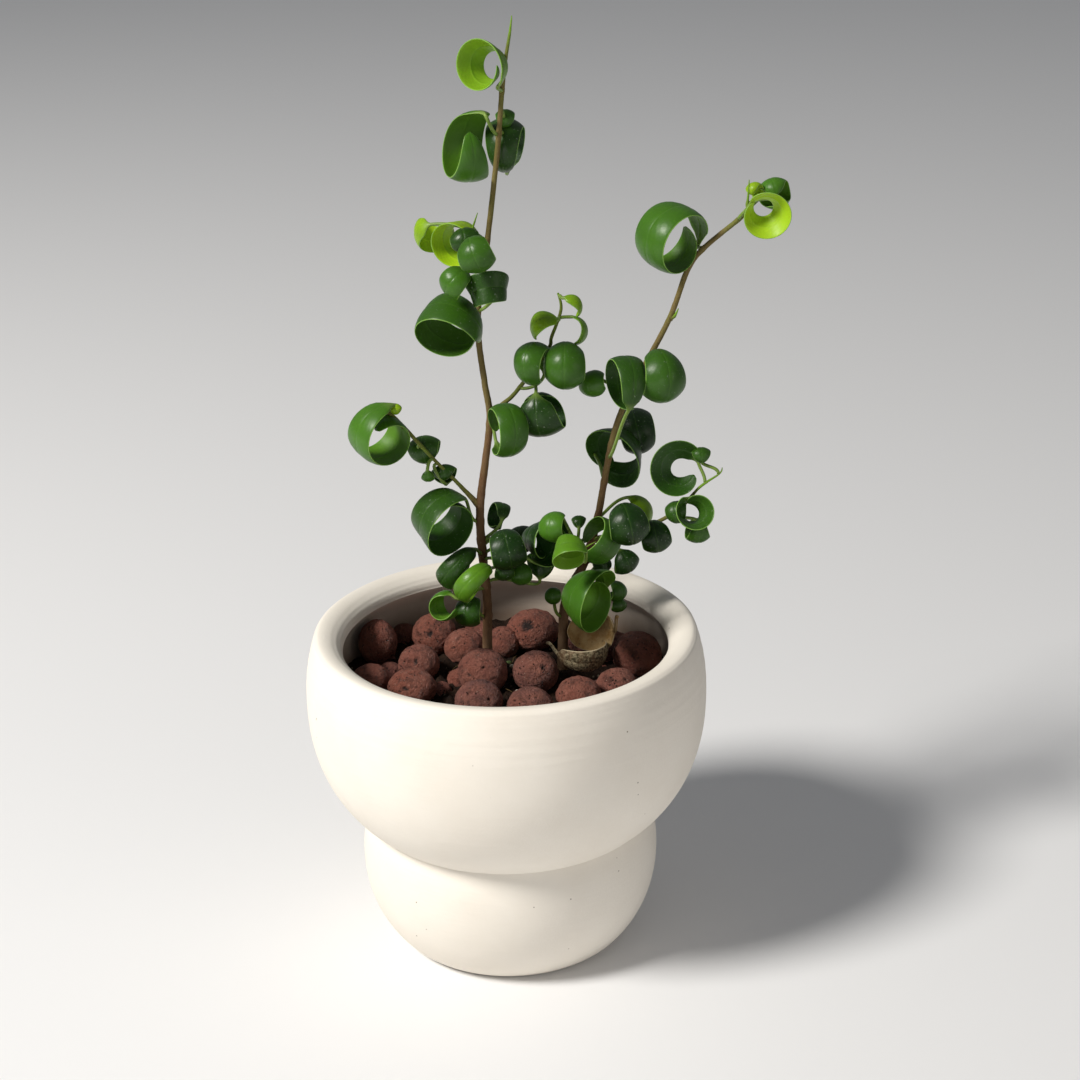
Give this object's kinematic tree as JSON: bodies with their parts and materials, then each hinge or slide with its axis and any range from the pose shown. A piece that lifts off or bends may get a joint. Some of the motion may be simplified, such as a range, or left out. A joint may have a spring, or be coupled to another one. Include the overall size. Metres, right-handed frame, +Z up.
{
  "type": "potted ficus",
  "caption": "Small curly-leaved ficus growing in a two-tier cream clay pot, its soil topped with red-brown clay pebbles.",
  "frame": {"origin": "centre of the pot's flat base, on the surface that it stands on", "axes": "+Z up along the pot's axis, -Y is the plant's front, +X is the side that the right stem leans to"},
  "size_m": [0.1437, 0.12, 0.2795],
  "materials": {
    "cream_clay": "matte",
    "soil": "matte",
    "fired_clay": "matte",
    "bark": "matte",
    "leaf": "satin",
    "withered_leaf": "matte"
  },
  "bodies": {
    "root": {"pot": "cream_clay", "soil": "soil", "stem_left": "bark", "stem_right": "bark", "leaf_left_01": "leaf", "leaf_left_02": "leaf", "leaf_left_03": "leaf", "leaf_left_04": "leaf", "leaf_left_05": "leaf", "leaf_left_06": "leaf", "leaf_left_07": "leaf", "leaf_left_08": "leaf", "leaf_left_09": "leaf", "leaf_left_10": "leaf", "leaf_left_11": "leaf", "leaf_left_12": "leaf", "leaf_left_13": "leaf", "leaf_left_14": "leaf", "leaf_left_15": "leaf", "leaf_left_16": "leaf", "leaf_left_17": "leaf", "leaf_left_18": "leaf", "leaf_left_19": "leaf", "leaf_left_20": "leaf", "leaf_left_21": "leaf", "leaf_left_22": "leaf", "leaf_left_23": "leaf", "leaf_left_24": "leaf", "leaf_right_01": "leaf", "leaf_right_02": "leaf", "leaf_right_03": "leaf", "leaf_right_04": "leaf", "leaf_right_05": "leaf", "leaf_right_06": "leaf", "leaf_right_07": "leaf", "leaf_right_08": "leaf", "leaf_right_09": "leaf", "leaf_right_10": "leaf", "leaf_right_11": "leaf", "leaf_right_12": "leaf", "leaf_right_13": "leaf", "leaf_right_14": "leaf", "leaf_right_15": "leaf", "leaf_right_16": "leaf", "leaf_right_17": "leaf", "pebble_01": "fired_clay", "pebble_02": "fired_clay", "pebble_03": "fired_clay", "pebble_04": "fired_clay", "pebble_05": "fired_clay", "pebble_06": "fired_clay", "pebble_07": "fired_clay", "pebble_08": "fired_clay", "pebble_09": "fired_clay", "pebble_10": "fired_clay", "pebble_11": "fired_clay", "pebble_12": "fired_clay", "pebble_13": "fired_clay", "withered_leaf_1": "withered_leaf", "withered_leaf_2": "withered_leaf"}
  },
  "joints": []
}
